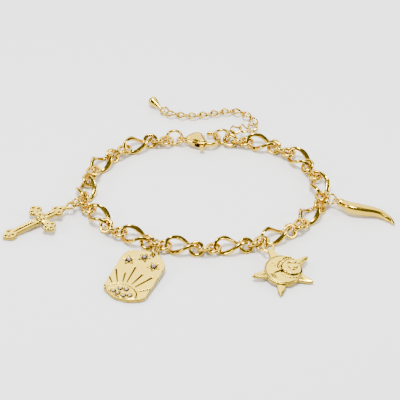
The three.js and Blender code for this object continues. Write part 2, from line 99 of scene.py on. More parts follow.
LEVER = {
    "thickness": 0.9,
    "arms": (
        (5.6, -1.0), (6.7, 0.4), (7.15, 2.2), (8.0, 2.15), (8.0, 0.6), (7.6, -1.0), (7.6, -2.0),
        (7.45, -2.6), (7.5, -4.6), (6.2, -4.6), (6.05, -2.6), (5.6, -2.0),
    ),
    "thumb": ((5.9, -4.375), (6.2, -5.325), (7.5, -5.325), (7.8, -4.375)),
    "thumb_height": 1.9, "thumb_corner": 0.3,
}

CURB_LINK = {"length": 5.1, "width": 3.3, "wire": 0.6, "fullness": 2.1, "roll": 42, "lean": 20, "band": 0.7}
CURB_LINKS = 12
CURB_RING = {"outer": 4.0, "wire": 0.65}
END_RING = {"outer": 3.3, "wire": 0.6}
EXTENDER_COURSE = (
    (9.7, 28.5, 4.2), (12.0, 30.6, 3.9), (15.4, 32.0, 2.0), (17.8, 34.8, 1.3), (16.9, 39.0, 1.3),
    (13.4, 42.6, 1.3), (9.2, 43.7, 1.3), (1.4, 41.7, 1.3), (-5.5, 40.8, 1.3), (-12.4, 42.3, 1.3),
)
FIRST_CURB_RING = {"along": 9.37, "side": 27.21, "height": 3.76, "roll": 0, "yaw": 0}
LAST_CURB_RING = {"along": -13.4, "side": 43.2, "height": 1.6, "roll": 70, "yaw": 0}
# The bell's rows are shares of the drop's length and, for the radius there, of its wide end.
DROP = {
    "length": 5.95, "wide": 3.48, "narrow": 0.8, "loop": {"outer": 2.2, "wire": 0.5},
    "bell": ((0.3, 0.24), (0.5, 0.36), (0.76, 0.5), (0.9, 0.42), (0.98, 0.2)),
}
DROP_PLACE = {"at": (-14.6, 44.9, 1.3), "heading": 130, "tilt": 9}

CHARM_RING = {"outer": 4.6, "wire": 0.75}
CHARM_RINGS = {
    "jump_ring_tag_upper": ((-14.84, -30.32, 3.35), (-0.872, -0.274, 0.406)),
    "jump_ring_tag_lower": ((-15.03, -32.72, 2.24), (0.876, -0.384, 0.293)),
    "jump_ring_cross": ((-40.77, -8.91, 3.55), (0.371, -0.908, -0.195)),
    "jump_ring_sun_moon": ((18.44, -29.3, 3.25), (0.489, 0.728, -0.48)),
    "jump_ring_horn": ((41.37, -7.19, 3.4), (-0.131, -0.982, 0.138)),
}

# A cut's two numbers are its width and its depth. A rim's and a dome's are its width and its height, but
# the domes on the cross's lobes have a share of the lobe's width.
CROSS = {
    "length": 22.6, "crossing": 14.6, "span": 14.0, "shaft": 2.4, "thickness": 1.3, "boss": 3.8,
    "arm_inset": 2,
    "leaf": ((0.72, 0.01, 1.4), (1.55, 0.7, 1.7), (2.6, 1.3, 1.9), (3.6, 1.15, 1.7), (2.4, 0.01, 3.2)),
    "leaf_dimples": ((1.2, 0.15), (2.85, 1.25), (3.2, -0.85), (2.0, -0.75)),
    "reach": 1.3, "spread": 1.2, "lobe": 2.2, "grooves": ((4.5, 11.2), (16.8, 18.6)), "petals": (0.85, 1.8),
    "cuts": {
        "groove": (0.95, 0.35), "petal": (0.6, 0.25), "leaf": (1.3, 0.5), "lobe": (1.35, 0.5),
        "neck": (0.9, 0.4),
    },
    "domes": {"boss": (4.2, 0.45), "lobe": (0.95, 0.12)},
    "bail": {"length": 4.9, "width": 3.9, "wire": 0.85, "low": 0.1, "high": 0.9},
}
CROSS_PLACE = {"at": (-63.9, -23.6, 0), "heading": 33.2, "tilt": 5.65}

TAG = {
    "thickness": 1.2,
    "corner": 1.6,
    "rim": (0.35, 0.06),
    "cuts": {
        "ray": (0.95, 0.24), "arc": (0.5, 0.22), "bead": (0.42, 0.25), "star": (0.3, 0.16),
        "seat": (0.45, 0.25),
    },
    "outline": (
        (0.1, -2.5), (2.6, -7.3), (14.3, -7.6), (18.6, -7.4), (21.9, -3.2), (22.0, 1.1),
        (20.6, 5.7), (18.4, 7.3), (2.6, 7.1), (0.0, 1.9),
    ),
    "hole": (20.7, -1.7),
    "hole_width": 1.7,
    "stars": ((16.1, 4.4), (18.9, 0.3), (16.3, -4.1)),
    "star_width": 4.2,
    "star_waist": 0.24,
    "star_turns": (26, -5, 45),
    "star_height": 0.16,
    "star_stone": 1.5,
    "beads": ((4.0, 1.5), (4.3, -0.45), (2.3, 3.15), (1.9, 1.4), (1.6, -0.65), (2.3, -2.5)),
    "bead_stone": 1.3,
    "sun": (
        (0.7, -2.6), (2.0, -4.6), (4.0, -3.9), (5.4, -2.0), (6.0, 0.6), (5.6, 2.9), (4.2, 5.0),
        (2.4, 6.0), (0.7, 1.9),
    ),
    "sun_height": 0.2,
    "ray_centre": (1.0, 0.6),
    "ray_start": 6.2,
    "ray_angles": (68, 45, 30, 14, 2, -15, -30, -51, -84),
    "ray_ends": (8.0, 11.0, 11.6, 10.0, 13.0, 11.4, 12.6, 9.5, 8.1),
}
TAG_PLACE = {"at": (-25.8, -52.5, 0), "heading": 66, "tilt": 4.66}

STONE = {"girdle": 0.25, "crown": 0.3, "star": 0.4, "table": (0.2, 0.26)}

SUN_MOON = {
    "width": 12.0, "thickness": 1.4, "rim_cut": (0.4, 0.14),
    "ray_angles": (-76, -138, 149, 80), "ray_root": 4.4, "ray_tip": 10.2, "ray_width": 4.2,
    "ray_thickness": 1.2, "ray_ridge": 0.28, "ray_drop": 0.2,
    "bail": {"at": 10.9, "outer": 4.4, "wire": 1.0}, "neck": (1.9, 0.9),
}
FACE = {
    "at": (-0.4, -2.7), "width": 6.2, "right": (-0.37, -0.93), "up": (0.93, -0.37),
    "eyes": (-0.6, 1.43), "eye_half": 0.6, "brow": 1.85, "arch": 0.9,
    "mouth": (0.4, 0.3), "mouth_half": 1.5, "lips": ((1.5, (0.62, 0.22)), (0.7, (0.34, 0.14))),
    "eye_cut": (0.8, 0.25), "edge_cut": (0.38, 0.25),
}
MOON = {
    "brow": ((1.33, 0.91), (0.98, 1.28), (0.2, 0.6), (-0.2, 0.51)), "brow_cut": (0.28, 0.18),
    "cheek": ((-0.29, 3.05), (-0.2, 0.51)), "cheek_cut": (0.9, 0.3),
    "profile": ((-0.2, 0.6), (-1.0, 1.28), (-0.77, 0.01), (-2.35, -0.55), (-3.5, -2.49), (-2.99, -5.25)),
    "profile_cut": (0.42, 0.2),
    "hatching": (
        ((3.45, 2.29), (2.96, 1.27)), ((2.75, 2.92), (2.13, 1.68)), ((-0.03, 4.65), (-1.86, 4.39)),
        ((-0.07, 4.1), (-2.2, 4.0)), ((-0.1, 3.53), (-2.55, 3.58)),
    ),
    "hatch_cut": (0.42, 0.12),
}
# Marks round the sun's face: radii, first and last angle, how many, and their cut.
DASHES = {"radius": 4.15, "angles": (113, 174), "count": 6, "half": 3, "cut": (0.55, 0.2)}
SPOKES = {"radii": (3.45, 4.25), "angles": (64, -33), "count": 10, "cut": (0.4, 0.2)}
HALO = {"radius": 4.45, "angles": (66, -36), "cut": (0.45, 0.22)}
SUN_MOON_PLACE = {"at": (28.44, -48.52, 0), "heading": 114.5, "tilt": 7.66}

# The horn's width and height are in radii of its course.
HORN = {
    "course": (
        (0.14, 0.25, 0.5), (2.6, -0.8, 0.9), (6.6, -1.05, 1.35), (11.0, 0.75, 1.7), (15.0, 2.05, 1.8),
        (18.6, 1.6, 1.7),
    ),
    "radii": (0.36, 0.9, 1.35, 1.7, 1.75, 1.2),
    "width": 2, "height": 1.9,
    "cap": {"at": (18.2, 1.6, 1.7), "width": 2.9, "length": 1.6},
    "eye": {"at": (20.6, 1.6, 1.7), "outer": 2.6, "wire": 0.7},
}
HORN_PLACE = {"at": (61.8, -16.4, 0), "heading": 150, "tilt": 3.35}

# Painted shade on the struck charms' rims and walls: how dark they are coloured, from 0 on a flat to 1 in a
# groove.
RIM_PAINTED_SHADE, WALL_PAINTED_SHADE = 0.8, 0.45

CAMERA = {"elevation": 39.5, "distance": 580.0, "aim": (-1.03, -4.27, 0.58), "lens": 159.3}
FLOOR_HALF = 2500
WORLD = {"colour": (0.8, 0.78, 0.76), "strength": 0.2}
PANELS = {
    "back_panel": {"place": (0, 530, 480), "size": (1100, 760), "radiance": 3.4},
    "top_panel": {"place": (-40, -60, 540), "size": (190, 150), "radiance": 66},
    "left_panel": {"place": (-460, -160, 260), "size": (110, 170), "radiance": 34},
    "right_panel": {"place": (460, -120, 260), "size": (110, 170), "radiance": 30},
}


def frame_origin():
    """Place of the ellipse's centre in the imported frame, from one ring's centre in both frames."""
    low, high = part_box("jump_ring_cross")
    return (low + high) / 2 - Vector(CHARM_RINGS["jump_ring_cross"][0]) * MM


ORIGIN = frame_origin()


# ---------------------------------------------------------------- places

def shift(x, y, z=0.0):
    return Matrix.Translation((x, y, z))


def turn(axis, degrees):
    return Matrix.Rotation(math.radians(degrees), 4, axis)


def looking(start, end):
    """Place at one point of the floor whose X looks at another."""
    heading = math.degrees(math.atan2(end[1] - start[1], end[0] - start[0]))
    return shift(*start) @ turn("Z", heading)


def charm_place(place):
    return shift(*place["at"]) @ turn("Z", place["heading"]) @ turn("Y", -place["tilt"])


def ring_place(ring):
    at = shift(ring["along"], ring["side"], ring["height"])
    return at @ turn("X", ring["roll"]) @ turn("Y", -ring["yaw"])


def axis_place(centre, axis):
    return shift(*centre) @ Vector((0, 0, 1)).rotation_difference(Vector(axis)).to_matrix().to_4x4()


def direction(degrees):
    return np.array((math.cos(math.radians(degrees)), math.sin(math.radians(degrees))))


def loop_point(angle):
    return LOOP["half_length"] * math.sin(angle), LOOP["half_width"] * math.cos(angle)


def step_along(start, angle, distance):
    """Angle of the loop point at a straight distance from a point, up to a quarter turn on."""
    low, high = angle, angle + math.pi / 2
    for _ in range(50):
        middle = (low + high) / 2
        if math.dist(loop_point(middle), start) < distance:
            low = middle
        else:
            high = middle
    return low


# ---------------------------------------------------------------- shapes

def section(width, height, sides, power):
    """Superelliptic outline: power 2 is an ellipse, and more is squarer."""
    angle = np.linspace(0, 2 * math.pi, sides, endpoint=False) + math.pi / sides
    across, up = np.cos(angle), np.sin(angle)
    rounded = 2 / power
    return (
        width / 2 * np.sign(across) * np.abs(across) ** rounded,
        height / 2 * np.sign(up) * np.abs(up) ** rounded,
    )


def sweep(path, up, width, height, sides=16, power=2.0, closed=True, scale=None, widen=1.0):
    """Tube round a path: up is the section's height direction at each point, and scale its size there.

    widen is how many times wider the section is across that direction, at each point or everywhere.
    """
    path = np.asarray(path, float)
    up = np.broadcast_to(np.asarray(up, float), path.shape)
    along = np.roll(path, -1, 0) - np.roll(path, 1, 0) if closed else np.gradient(path, axis=0)
    along /= np.linalg.norm(along, axis=1)[:, None]
    side = np.cross(along, up)
    side /= np.linalg.norm(side, axis=1)[:, None]
    up = np.cross(side, along)
    scale = np.ones(len(path)) if scale is None else np.asarray(scale, float)
    widen = np.broadcast_to(widen, len(path))
    across, high = section(width, height, sides, power)
    points = (
        path[:, None]
        + side[:, None] * ((scale * widen)[:, None] * across)[..., None]
        + up[:, None] * (scale[:, None] * high)[..., None]
    ).reshape(-1, 3)
    return points, tube_faces(len(path), sides, closed)


def tube_faces(steps, sides, closed):
    faces = []
    for i in range(steps if closed else steps - 1):
        here, there = i * sides, ((i + 1) % steps) * sides
        for j in range(sides):
            k = (j + 1) % sides
            faces.append((here + j, here + k, there + k, there + j))
    if not closed:
        faces.append(tuple(reversed(range(sides))))
        faces.append(tuple(range((steps - 1) * sides, steps * sides)))
    return faces


def ring(size, steps=56, sides=16, power=2.0):
    """Ring round Z, whose wire is widen times as wide inwards where its size says so."""
    angle = np.linspace(0, 2 * math.pi, steps, endpoint=False)
    widen = size.get("widen", 1)
    radius = (size["outer"] - size["wire"] * widen) / 2
    path = np.stack([radius * np.cos(angle), radius * np.sin(angle), 0 * angle], 1)
    return sweep(path, (0, 0, 1), size["wire"], size["wire"], sides, power, widen=widen)


def twisted_link(link, steps, sides, power):
    """Oval along X whose plane turns from lean + roll at its start to lean - roll at its end.

    Its strands are 1 + band times as wide as its wire at mid-length.
    """
    span = link["length"] - link["wire"]
    angle = np.linspace(0, 2 * math.pi, steps, endpoint=False)
    fullness = 2 / link["fullness"]
    along, across = np.cos(angle), np.sin(angle)
    x = span / 2 * np.sign(along) * np.abs(along) ** fullness
    y = (link["width"] - link["wire"]) / 2 * np.sign(across) * np.abs(across) ** fullness
    plane = np.radians(link["lean"] - link["roll"] * np.sin(math.pi * x / span))
    path = evenly(np.stack([x, y * np.cos(plane), y * np.sin(plane)], 1), steps)
    plane = np.radians(link["lean"] - link["roll"] * np.sin(math.pi * path[:, 0] / span))
    up = np.stack([0 * plane, -np.sin(plane), np.cos(plane)], 1)
    middle = 1 - smooth(np.abs(path[:, 0]) / (link["length"] * 0.36))
    return sweep(path, up, link["wire"], link["wire"], sides, power, widen=1 + link["band"] * middle)


def evenly(path, steps, closed=True):
    """The same path with its points at equal distances."""
    if closed:
        path = np.vstack([path, path[:1]])
    lengths = np.concatenate([[0], np.cumsum(np.linalg.norm(np.diff(path, axis=0), axis=1))])
    wanted = np.linspace(0, lengths[-1], steps, endpoint=not closed)
    return np.stack([np.interp(wanted, lengths, path[:, k]) for k in range(path.shape[1])], 1)


def spline(points, steps):
    """Catmull-Rom curve through points, with equal numbers of steps between them."""
    points = np.asarray(points, float)
    padded = np.vstack([2 * points[0] - points[1], points, 2 * points[-1] - points[-2]])
    spans = len(points) - 1
    t = np.linspace(0, spans, steps)
    i = np.minimum(t.astype(int), spans - 1)
    f = (t - i)[:, None]
    a, b, c, d = (padded[i + k] for k in range(4))
    return 0.5 * (2 * b + (c - a) * f + (2 * a - 5 * b + 4 * c - d) * f**2 + (3 * b - 3 * c + d - a) * f**3)


def turned(profile, segments=32):
    """Solid of revolution about X from (x, radius) pairs."""
    profile = np.asarray(profile, float)
    angle = np.linspace(0, 2 * math.pi, segments, endpoint=False)
    x = np.repeat(profile[:, :1], segments, 1)
    points = np.stack([x, profile[:, 1:] * np.cos(angle), profile[:, 1:] * np.sin(angle)], 2)
    return points.reshape(-1, 3), tube_faces(len(profile), segments, False)


def moved(part, place):
    """The part in a place, with its faces and any engraving and painted shade as they were."""
    points = np.asarray(part[0]) @ np.array(place.to_3x3()).T + np.array(place.translation)
    return points, *part[1:]


def disc(centre, width, steps=48):
    angle = np.linspace(0, 2 * math.pi, steps, endpoint=False)
    return np.stack([centre[0] + width / 2 * np.cos(angle), centre[1] + width / 2 * np.sin(angle)], 1)


def arc(centre, radius, start, end, steps=24):
    angle = np.radians(np.linspace(start, end, steps))
    return np.stack([centre[0] + radius * np.cos(angle), centre[1] + radius * np.sin(angle)], 1)


def rounded(corners, radius, steps=6):
    """Closed outline whose corners are rounded by quadratic curves."""
    corners = [np.asarray(corner, float) for corner in corners]
    outline = []
    for before, corner, after in zip(corners[-1:] + corners[:-1], corners, corners[1:] + corners[:1]):
        cut_in = min(radius, np.linalg.norm(before - corner) * 0.45)
        cut_out = min(radius, np.linalg.norm(after - corner) * 0.45)
        start = corner + (before - corner) / np.linalg.norm(before - corner) * cut_in
        end = corner + (after - corner) / np.linalg.norm(after - corner) * cut_out
        for t in np.linspace(0, 1, steps):
            outline.append((1 - t) ** 2 * start + 2 * t * (1 - t) * corner + t**2 * end)
    return np.array(outline)


# ---------------------------------------------------------------- relief

def distance_to(points, line, closed=False):
    """Distance of 2-D points to a line of segments, and how far along it the nearest point is."""
    line = np.asarray(line, float)
    if closed:
        line = np.vstack([line, line[:1]])
    best = np.full(len(points), 1e9)
    where = np.zeros(len(points))
    spans = len(line) - 1
    for i, (a, b) in enumerate(zip(line[:-1], line[1:])):
        run = b - a
        t = np.clip((points - a) @ run / max(run @ run, 1e-12), 0, 1)
        away = np.linalg.norm(points - a - t[:, None] * run, axis=1)
        nearer = away < best
        best = np.where(nearer, away, best)
        where = np.where(nearer, (i + t) / spans, where)
    return best, where


def inside(points, outline):
    """True where a 2-D point lies inside a closed outline."""
    x, y = points[:, 0], points[:, 1]
    result = np.zeros(len(points), bool)
    for (x0, y0), (x1, y1) in zip(outline, np.roll(outline, -1, 0)):
        crosses = (y0 > y) != (y1 > y)
        at = x0 + (y - y0) / (y1 - y0 if y1 != y0 else 1e-12) * (x1 - x0)
        result ^= crosses & (x < at)
    return result


def smooth(value):
    value = np.clip(value, 0, 1)
    return value * value * (3 - 2 * value)


class Relief:
    """The top face of a flat charm: heights over a field of points, and how dark each is coloured, for its
    grooves and for painted shade in dimples and at the rims.
    """

    def __init__(self, points):
        self.points = points
        self.height = np.zeros(len(points))
        self.engraving_and_painted_shade = np.zeros(len(points))

    def groove(self, line, width, depth, root=1.0, closed=False):
        """Round-bottomed groove whose width grows from root times width at its start."""
        away, where = distance_to(self.points, line, closed)
        half = width / 2 * (root + (1 - root) * where)
        share = 1 - smooth(away / half)
        self.height -= depth * share
        self.engraving_and_painted_shade = np.maximum(self.engraving_and_painted_shade, 1 - smooth((away / half - 0.35) / 0.6))

    def raised(self, outline, height, edge=0.3):
        """Plateau inside an outline, with a soft edge."""
        away, _ = distance_to(self.points, outline, True)
        signed = np.where(inside(self.points, outline), away, -away)
        self.height += height * smooth(signed / edge + 0.5)

    def dome(self, centre, width, height):
        away = np.linalg.norm(self.points - np.array(centre), axis=1) / (width / 2)
        self.height += height * np.sqrt(np.clip(1 - away**2, 0, 1))

    def dimple(self, centre, width, depth):
        away = np.linalg.norm(self.points - np.array(centre), axis=1) / (width / 2)
        self.height -= depth * (1 - smooth(away))
        # Painted shade: the dimple is coloured darker, as a shadowed opening looks.
        self.engraving_and_painted_shade = np.maximum(self.engraving_and_painted_shade, 1 - smooth((away - 0.35) / 0.6))

    def rim(self, outline, width, height):
        away, _ = distance_to(self.points, outline, True)
        self.height += height * (1 - smooth((away - width * 0.6) / (width * 0.4)))


def grid_inside(outlines, holes, spacing):
    """Staggered grid of points inside any of the outlines, clear of every edge."""
    everything = np.vstack(outlines)
    low, high = everything.min(0), everything.max(0)
    x, y = np.meshgrid(
        np.arange(low[0] + spacing / 2, high[0], spacing), np.arange(low[1] + spacing / 2, high[1], spacing)
    )
    x[1::2] += spacing / 2
    grid = np.stack([x.ravel(), y.ravel()], 1)
    grid = grid[covered(grid, outlines, holes)]
    clear = np.full(len(grid), True)
    for line in [*outlines, *holes]:
        clear &= distance_to(grid, line, True)[0] > spacing * 0.4
    return grid[clear]


def covered(points, outlines, holes):
    result = np.zeros(len(points), bool)
    for outline in outlines:
        result |= inside(points, outline)
    for hole in holes:
        result &= ~inside(points, hole)
    return result


def outline_length(outline):
    return np.linalg.norm(outline - np.roll(outline, 1, 0), axis=1).sum()


def triangulated(outlines, holes, spacing):
    """Points and triangles over the union of the outlines, less the holes."""
    lines = [evenly(line, int(outline_length(line) / spacing)) for line in [*outlines, *holes]]
    points = np.vstack([*lines, grid_inside(lines[: len(outlines)], lines[len(outlines):], spacing)])
    edges, first = [], 0
    for line in lines:
        edges += [(first + i, first + (i + 1) % len(line)) for i in range(len(line))]
        first += len(line)
    result = geometry.delaunay_2d_cdt([Vector(point) for point in points], edges, [], 0, 1e-5)
    points = np.array([tuple(point) for point in result[0]])
    triangles = np.array(result[2])
    middles = points[triangles].mean(1)
    return points, triangles[covered(middles, lines[: len(outlines)], lines[len(outlines):])]


def border(triangles):
    """Edges that only one triangle has, in that triangle's direction."""
    edges = {(a, b) for t in triangles for a, b in ((t[0], t[1]), (t[1], t[2]), (t[2], t[0]))}
    return [(a, b) for a, b in edges if (b, a) not in edges]


def plate(outlines, low, high, draw=None, holes=(), spacing=0.14, edge=0.18, rise=None):
    """Flat part between two heights: rounded rims, and details that draw(relief) models on top.

    The rims are quarter ellipses, edge wide and rise high; rims and walls are coloured with painted shade.
    """
    rise = edge if rise is None else rise
    points, triangles = triangulated(outlines, list(holes), spacing)
    rims = border(triangles)
    away = np.full(len(points), 1e9)
    for a, b in rims:
        away = np.minimum(away, distance_to(points, points[[a, b]])[0])
    rounding = rise * (1 - np.sqrt(1 - np.clip(1 - away / edge, 0, 1) ** 2))
    relief = Relief(points)
    # Painted shade: each rounded rim is coloured darker towards its edge.
    relief.engraving_and_painted_shade = RIM_PAINTED_SHADE * (1 - smooth(away / edge))
    if draw:
        draw(relief)
    count = len(points)
    top = np.column_stack([points, high + relief.height - rounding])
    back = np.column_stack([points, low + rounding])
    faces = [tuple(t) for t in triangles.tolist()]
    faces += [(count + c, count + b, count + a) for a, b, c in faces]
    faces += [(int(b), int(a), count + int(a), count + int(b)) for a, b in rims]
    # Painted shade: the back and the walls under the rims are coloured darker.
    return np.vstack([top, back]), faces, np.concatenate([relief.engraving_and_painted_shade, np.full(count, WALL_PAINTED_SHADE)])


# ---------------------------------------------------------------- materials

BUMP = 0.3 * MM


def material(name, colour, roughness, metallic=1.0):
    made = bpy.data.materials.new(name)
    made.use_nodes = True
    shader = made.node_tree.nodes["Principled BSDF"]
    shader.inputs["Base Color"].default_value = (*colour, 1)
    shader.inputs["Roughness"].default_value = roughness
    shader.inputs["Metallic"].default_value = metallic
    return made, made.node_tree, shader


def noise(tree, scale, detail=3.0):
    where = tree.nodes.new("ShaderNodeTexCoord")
    texture = tree.nodes.new("ShaderNodeTexNoise")
    texture.inputs["Scale"].default_value = scale
    texture.inputs["Detail"].default_value = detail
    tree.links.new(where.outputs["Object"], texture.inputs["Vector"])
    return texture.outputs["Fac"]


def spread(tree, value, low, high):
    """Maps a texture's middle range onto low to high."""
    mapped = tree.nodes.new("ShaderNodeMapRange")
    mapped.inputs["From Min"].default_value = 0.3
    mapped.inputs["From Max"].default_value = 0.7
    mapped.inputs["To Min"].default_value = low
    mapped.inputs["To Max"].default_value = high
    tree.links.new(value, mapped.inputs["Value"])
    return mapped.outputs["Result"]


def bump(tree, shader, value, strength, distance):
    node = tree.nodes.new("ShaderNodeBump")
    node.inputs["Strength"].default_value = strength
    node.inputs["Distance"].default_value = distance
    tree.links.new(value, node.inputs["Height"])
    tree.links.new(node.outputs["Normal"], shader.inputs["Normal"])


def two_colours(tree, shader, value, first, second):
    ramp = tree.nodes.new("ShaderNodeValToRGB")
    ramp.color_ramp.elements[0].color = (*first, 1)
    ramp.color_ramp.elements[1].color = (*second, 1)
    tree.links.new(value, ramp.inputs["Fac"])
    tree.links.new(ramp.outputs["Color"], shader.inputs["Base Color"])


def multiplied(tree, colour, tint, share):
    """A colour times a tint, by a varying share."""
    mix = tree.nodes.new("ShaderNodeMix")
    mix.data_type = "RGBA"
    mix.blend_type = "MULTIPLY"
    # The node has sockets of one name for each data type: 6, 7 and output 2 are the colours'.
    mix.inputs[7].default_value = (*tint, 1)
    tree.links.new(share, mix.inputs[0])
    tree.links.new(colour, mix.inputs[6])
    return mix.outputs[2]


def polished_gold():
    """Plated wire: mirror bright, with faint polishing waves and slightly varied plating."""
    made, tree, shader = material("polished_gold", (0.9, 0.62, 0.22), 0.12)
    two_colours(tree, shader, noise(tree, 220), (0.6, 0.39, 0.03), (0.75, 0.52, 0.055))
    tree.links.new(spread(tree, noise(tree, 900), 0.08, 0.2), shader.inputs["Roughness"])
    bump(tree, shader, noise(tree, 420, 1.0), 0.12, BUMP)
    return made


def struck_gold():
    """Stamped charms: paler and softer than the wire, dark in the engraving, with painted shade on rims,
    walls and dimples.
    """
    made, tree, shader = material("struck_gold", (0.95, 0.72, 0.33), 0.22)
    # Attribute with how dark each point is coloured, for engraving and for painted shade.
    depth = tree.nodes.new("ShaderNodeAttribute")
    depth.attribute_name = "engraving_and_painted_shade"
    ramp = tree.nodes.new("ShaderNodeValToRGB")
    # Flat gold, to a near black for the grooves and for the painted shade on rims, walls and dimples.
    ramp.color_ramp.elements[0].color = (0.93, 0.7, 0.085, 1)
    ramp.color_ramp.elements[1].color = (0.1, 0.055, 0.008, 1)
    ramp.color_ramp.elements[0].position = 0.03
    tree.links.new(depth.outputs["Fac"], ramp.inputs["Fac"])
    share = spread(tree, noise(tree, 110), 0.0, 1.0)
    tinted = multiplied(tree, ramp.outputs["Color"], (0.94, 0.84, 0.6), share)
    tree.links.new(tinted, shader.inputs["Base Color"])
    tree.links.new(spread(tree, noise(tree, 700), 0.16, 0.3), shader.inputs["Roughness"])
    bump(tree, shader, noise(tree, 500, 2.0), 0.15, BUMP)
    return made


def cut_stone(name, table):
    """Cut stone, opaque so that it reads at its size: a pale table over sloping facets darkened with painted
    shade.
    """
    made, tree, shader = material(name, table, 0.08, 0.0)
    depth = tree.nodes.new("ShaderNodeAttribute")
    depth.attribute_name = "engraving_and_painted_shade"
    # Painted shade: the table keeps the stone's colour, and the sloping facets go to near black.
    two_colours(tree, shader, depth.outputs["Fac"], table, (0.03, 0.02, 0.012))
    tree.links.new(spread(tree, noise(tree, 1500), 0.04, 0.14), shader.inputs["Roughness"])
    shader.inputs["IOR"].default_value = 1.55
    return made


GOLD = polished_gold()
STRUCK = struck_gold()
VIOLET_STONE = cut_stone("violet_stone", (0.3, 0.21, 0.24))
# The clear stones' gold-beige is painted: the gold that shows through a clear stone.
CLEAR_STONE = cut_stone("clear_stone", (0.66, 0.52, 0.24))


# ---------------------------------------------------------------- pieces

def joined(parts):
    """Several parts as one, with how dark each point is coloured for engraving and painted shade, or 0 where
    a part doesn't say.
    """
    points, faces, engraving_and_painted_shade, start = [], [], [], 0
    for part in parts:
        points.append(np.asarray(part[0]))
        faces += [tuple(start + n for n in face) for face in part[1]]
        engraving_and_painted_shade.append(part[2] if len(part) > 2 else np.zeros(len(part[0])))
        start += len(part[0])
    return np.vstack(points), faces, np.concatenate(engraving_and_painted_shade)


def piece(name, parts, place, finish, body="anklet", nodes=(), sharp=40):
    """One mesh of the object, made from parts in a place, which rides on a body and stands for nodes."""
    points, faces, engraving_and_painted_shade = joined(parts)
    points, _ = moved((points, faces), place)
    mesh = bpy.data.meshes.new(name)
    mesh.from_pydata((points * MM + np.array(ORIGIN)).tolist(), [], faces)
    # How dark each point is coloured: engraving, and painted shade on rims, walls, dimples and stone facets.
    mesh.attributes.new("engraving_and_painted_shade", "FLOAT", "POINT").data.foreach_set("value", engraving_and_painted_shade.astype(np.float32))
    mesh.materials.append(finish)
    mesh.shade_smooth()
    mesh.set_sharp_from_angle(angle=math.radians(sharp))
    made = bpy.data.objects.new(name, mesh)
    bpy.context.scene.collection.objects.link(made)
    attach(made, body)
    if nodes:
        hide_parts(*nodes)
    return made


def trio(first_roll=FIRST_RING["roll"]):
    """The three rings between two long links, in a frame from one link's end to the next."""
    rings = ({**FIRST_RING, "roll": first_roll}, MIDDLE_RING, LAST_RING)
    return [moved(ring(ROUND_RING, power=2.2), ring_place(place)) for place in rings]


def make_chain():
    """Long links and ring trios, clockwise from the hook; returns the last link's end."""
    link = twisted_link(LONG_LINK, 120, 24, 3.4)
    chord = LONG_LINK["length"] - LONG_LINK["wire"]
    start, angle = FIRST_LINK, 0.0
    for i in range(1, LONG_LINKS + 1):
        angle = step_along(start, angle, chord)
        end = loop_point(angle)
        place = looking(start, end) @ shift(chord / 2, 0, LONG_LINK["height"])
        piece(f"twisted_wire_{i:02d}", [link], place, GOLD, nodes=[f"long_link_{i:02d}"])
        if i < LONG_LINKS:
            angle = step_along(end, angle, TRIO_SPAN)
            start = loop_point(angle)
            place = looking(end, start) if start[0] > end[0] else looking(start, end)
            piece(f"small_rings_{i:02d}", trio(), place, GOLD, nodes=[f"ring_trio_{i:02d}"])
    return end


def make_clasp_rings(chain_end):
    """The rings on both sides of the clasp; returns the place of the clasp's eye."""
    line = looking(chain_end, APEX)
    hook_side = looking(APEX, FIRST_LINK)
    piece("small_rings_eye_side", trio(), line, GOLD, nodes=["ring_trio_12"])
    piece("small_rings_hook_side", trio(HOOK_SIDE_ROLL), hook_side, GOLD, nodes=["ring_trio_13"])
    for name in ("eye", "hook"):
        along, side = CLASP_LINE[f"{name}_ring"]
        place = ring_place({**CLASP_RING, "along": along, "side": side, "yaw": 0})
        piece(f"plain_ring_{name}", [ring(CLASP_RING)], line @ place, GOLD, nodes=[f"jump_ring_{name}"])
    return line @ shift(*CLASP_LINE["eye"], CLASP_LINE["height"])


def temporary(part):
    """Object for a part in millimetres, which result_of removes again."""
    mesh = bpy.data.meshes.new("temporary")
    mesh.from_pydata(np.asarray(part[0]).tolist(), [], part[1])
    made = bpy.data.objects.new("temporary", mesh)
    bpy.context.scene.collection.objects.link(made)
    return made


def result_of(*objects):
    """Points and faces of the first object with its modifiers applied; the objects are removed."""
    shaped = objects[0].evaluated_get(bpy.context.evaluated_depsgraph_get()).to_mesh()
    points = np.array([tuple(vertex.co) for vertex in shaped.vertices])
    faces = [tuple(face.vertices) for face in shaped.polygons]
    for made in objects:
        mesh = made.data
        bpy.data.objects.remove(made)
        bpy.data.meshes.remove(mesh)
    return points, faces


def cut(part, cutter):
    """A part less another one."""
    blank = temporary(part)
    tool = temporary(cutter)
    difference = blank.modifiers.new("cut", "BOOLEAN")
    difference.operation = "DIFFERENCE"
    difference.object = tool
    return result_of(blank, tool)


def melted(parts, voxel=0.09, smoothing=5):
    """Overlapping parts as one skin, with softened edges."""
    whole = temporary(joined(parts))
    remesh = whole.modifiers.new("skin", "REMESH")
    remesh.mode = "VOXEL"
    remesh.voxel_size = voxel
    soften = whole.modifiers.new("soften", "SMOOTH")
    soften.factor = 0.5
    soften.iterations = smoothing
    return result_of(whole)


def curve(*spans, steps=10):
    """Outline from spans of Bezier points, each starting where the one before it ends."""
    points = []
    for span in spans:
        control = [np.asarray(point, float) for point in span]
        for t in np.linspace(0, 1, steps if len(span) > 2 else 2, endpoint=False):
            level = control
            while len(level) > 1:
                level = [(1 - t) * a + t * b for a, b in zip(level[:-1], level[1:])]
            points.append(level[0])
    return np.array(points)


